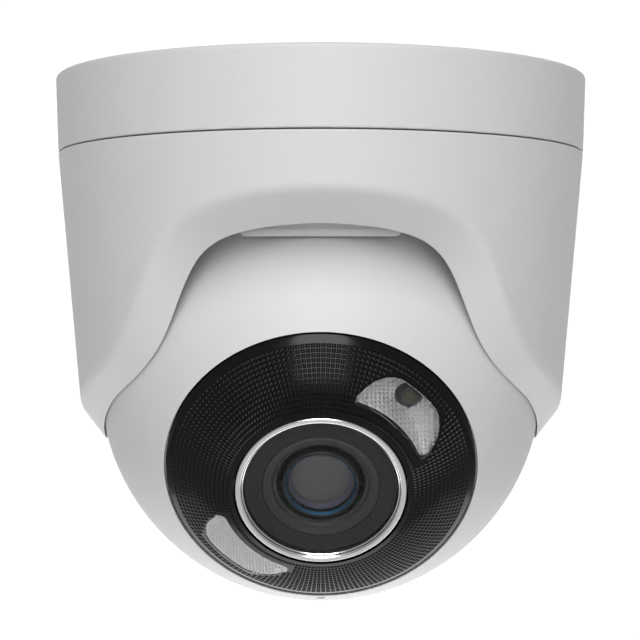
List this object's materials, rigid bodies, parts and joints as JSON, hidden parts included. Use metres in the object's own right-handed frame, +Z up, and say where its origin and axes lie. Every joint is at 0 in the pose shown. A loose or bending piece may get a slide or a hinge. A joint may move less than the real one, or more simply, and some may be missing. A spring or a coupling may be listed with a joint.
{
  "type": "dome cctv camera",
  "caption": "Ceiling security camera: a ball with a dark face, lens and lamps turns inside a tapered round housing with a cut-away front.",
  "frame": {"origin": "centre of the flat face of the base that meets the ceiling", "axes": "+Z up into the ceiling, -Y the way the lens looks before it is tilted down, +X to the right of a person who faces the lens"},
  "size_m": [0.11, 0.11, 0.1082],
  "materials": {
    "white_paint": "fine-textured white powder coat on die-cast aluminium",
    "black_plastic": "moulded black polycarbonate",
    "face_black": "dimpled black polycarbonate with a smooth polished margin",
    "clear_window": "clear moulded polycarbonate",
    "frosted_window": "frosted prism-faced polycarbonate",
    "silvered": "vacuum-silvered plastic",
    "chrome": "bright chrome plate",
    "glass": "coated optical glass",
    "dark_foam": "closed-cell foam",
    "rubber": "moulded rubber",
    "steel": "zinc-plated steel",
    "brass": "turned brass",
    "aluminium": "bare aluminium",
    "board_green": "green solder mask on glass-epoxy board",
    "lamp": "light-emitting diode with a yellow phosphor face",
    "filter_red": "infrared-cut interference filter"
  },
  "bodies": {
    "base": {"cable_grommet": "rubber", "mount_base": "white_paint", "pan_ring": "steel", "pan_ring_screw_1": "steel", "pan_ring_screw_2": "steel", "pan_ring_screw_3": "steel"},
    "collar": {"clamp_frame": "white_paint", "clamp_screw_1": "steel", "clamp_screw_2": "steel", "collar_shell": "white_paint", "lock_screw": "steel"},
    "seal": {"shell_seal": "rubber"},
    "ball": {"cable_gland": "rubber", "cable_header": "black_plastic", "card_hatch": "white_paint", "card_socket": "steel", "face_cover": "face_black", "filter_motor": "brass", "front_lens": "glass", "front_shell": "white_paint", "hatch_screw_1": "steel", "hatch_screw_2": "steel", "hatch_seal": "rubber", "heat_sink": "aluminium", "image_sensor": "aluminium", "led_board": "board_green", "led_lower": "lamp", "led_upper": "lamp", "lens_barrel": "black_plastic", "lens_bezel": "chrome", "lens_mount": "black_plastic", "light_baffle": "black_plastic", "light_window_lower": "frosted_window", "light_window_upper": "clear_window", "main_board": "board_green", "microphone": "aluminium", "processor": "black_plastic", "rear_lens": "glass", "rear_shell": "white_paint", "reflector_lower": "silvered", "reflector_upper": "silvered", "reset_switch": "black_plastic", "sensor_board": "board_green", "sensor_board_screw_1": "steel", "sensor_board_screw_2": "steel", "sensor_board_screw_3": "steel", "shell_screw_1": "steel", "shell_screw_2": "steel", "shell_screw_3": "steel", "standoff_1": "brass", "standoff_2": "brass", "standoff_3": "brass", "window_gasket": "dark_foam", "window_glass": "glass"},
    "filter": {"filter_slider": "black_plastic", "infrared_filter": "filter_red", "clear_pane": "glass"},
    "button": {"reset_button": "black_plastic"}
  },
  "joints": [
    {"name": "pan", "type": "hinge", "parent": "base", "child": "collar", "pos_m": [0, 0, 0], "axis": [0, 0, 1], "range_deg": [-180, 180]},
    {"name": "tilt", "type": "hinge", "parent": "collar", "child": "seal", "pos_m": [0, 0, -0.0624], "axis": [1, 0, 0], "range_deg": [-29.4, 48.6]},
    {"name": "roll", "type": "hinge", "parent": "seal", "child": "ball", "pos_m": [0, 0, -0.0624], "axis": [0, -0.8712, -0.4909], "range_deg": [-180, 180]},
    {"name": "day_night_filter", "type": "slide", "parent": "ball", "child": "filter", "axis": [1, 0, 0], "range_m": [0, 0.0064]},
    {"name": "reset_press", "type": "slide", "parent": "ball", "child": "button", "axis": [0, -0.4909, 0.8712], "range_m": [0, 0.0005], "stiffness_N_per_m": 1500, "springref_m": -0.0003}
  ]
}
